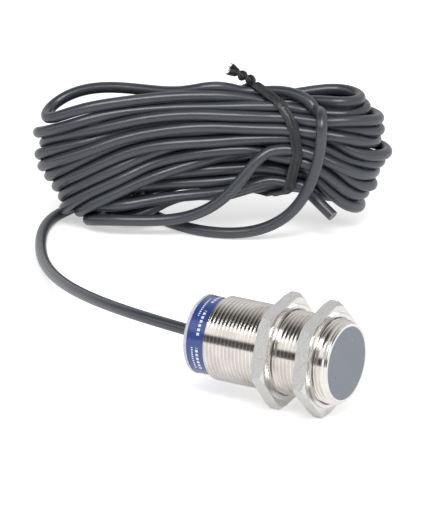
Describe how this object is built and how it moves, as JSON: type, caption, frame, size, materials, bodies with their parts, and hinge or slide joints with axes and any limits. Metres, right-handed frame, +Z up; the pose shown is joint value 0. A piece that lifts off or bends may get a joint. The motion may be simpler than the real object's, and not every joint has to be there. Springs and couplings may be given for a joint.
{
  "type": "inductive proximity sensor",
  "caption": "Flush inductive proximity sensor in a threaded metal barrel with clamping nuts, lock washers and a coiled, tied connection cable.",
  "frame": {"origin": "centre of the sensing face", "axes": "+X out of the sensing face along the barrel axis, +Z up"},
  "size_m": [0.202, 0.2094, 0.0633],
  "materials": {
    "nickel_brass": "nickel-plated, satin bright",
    "face_plastic": "smooth moulded grey",
    "ferrite": "sintered, matt",
    "spool_plastic": "moulded",
    "copper": "enamelled copper",
    "carrier_plastic": "moulded black",
    "board": "solder mask green",
    "chip_black": "moulded epoxy",
    "ceramic": "ceramic",
    "resistor": "glazed ceramic",
    "tantalum": "moulded yellow",
    "led": "clear amber lens",
    "solder": "solder",
    "resin": "clear potting resin",
    "clear_plastic": "frosted clear plastic",
    "label_blue": "printed film",
    "crimp": "plain steel",
    "cable_pvc": "satin PVC",
    "wire_brown": "PVC insulation",
    "wire_black": "PVC insulation",
    "wire_blue": "PVC insulation",
    "tie_plastic": "ribbed PVC strip",
    "tie_steel": "soft iron wire"
  },
  "bodies": {
    "housing": {"housing_barrel": "nickel_brass", "sensing_face_cap": "face_plastic", "ferrite_core": "ferrite", "coil_bobbin": "spool_plastic", "coil_winding": "copper", "coil_leads": "copper", "core_carrier": "carrier_plastic", "circuit_board": "board", "oscillator_chip": "chip_black", "output_transistor": "chip_black", "chip_resistors": "resistor", "chip_capacitors": "ceramic", "tantalum_capacitor": "tantalum", "protection_diode": "chip_black", "status_leds": "led", "solder_joints": "solder", "potting_resin": "resin", "end_cap": "clear_plastic", "label_band": "label_blue", "cable_crimp_ring": "crimp", "cable_jacket": "cable_pvc", "wire_brown": "wire_brown", "wire_black": "wire_black", "wire_blue": "wire_blue", "copper_cores": "copper", "wire_tie": "tie_plastic", "tie_wire_cores": "tie_steel"},
    "front_washer": {"front_lock_washer": "nickel_brass"},
    "front_nut": {"front_nut": "nickel_brass"},
    "rear_washer": {"rear_lock_washer": "nickel_brass"},
    "rear_nut": {"rear_nut": "nickel_brass"}
  },
  "joints": [
    {"name": "front_nut_travel", "type": "slide", "parent": "housing", "child": "front_washer", "axis": [1, 0, 0], "range_m": [-0.00601, 0.00451]},
    {"name": "front_nut_turn", "type": "hinge", "parent": "front_washer", "child": "front_nut", "pos_m": [0, 0, 0], "axis": [1, 0, 0], "range_deg": [-1440, 1080]},
    {"name": "rear_nut_travel", "type": "slide", "parent": "housing", "child": "rear_washer", "axis": [1, 0, 0], "range_m": [-0.02101, 0.00451]},
    {"name": "rear_nut_turn", "type": "hinge", "parent": "rear_washer", "child": "rear_nut", "pos_m": [0, 0, 0], "axis": [1, 0, 0], "range_deg": [-5040, 1080]}
  ],
  "couplings": [
    {"joint": "front_nut_travel", "follows": "front_nut_turn", "m_per_rad": 0.00023873},
    {"joint": "rear_nut_travel", "follows": "rear_nut_turn", "m_per_rad": 0.00023873}
  ]
}
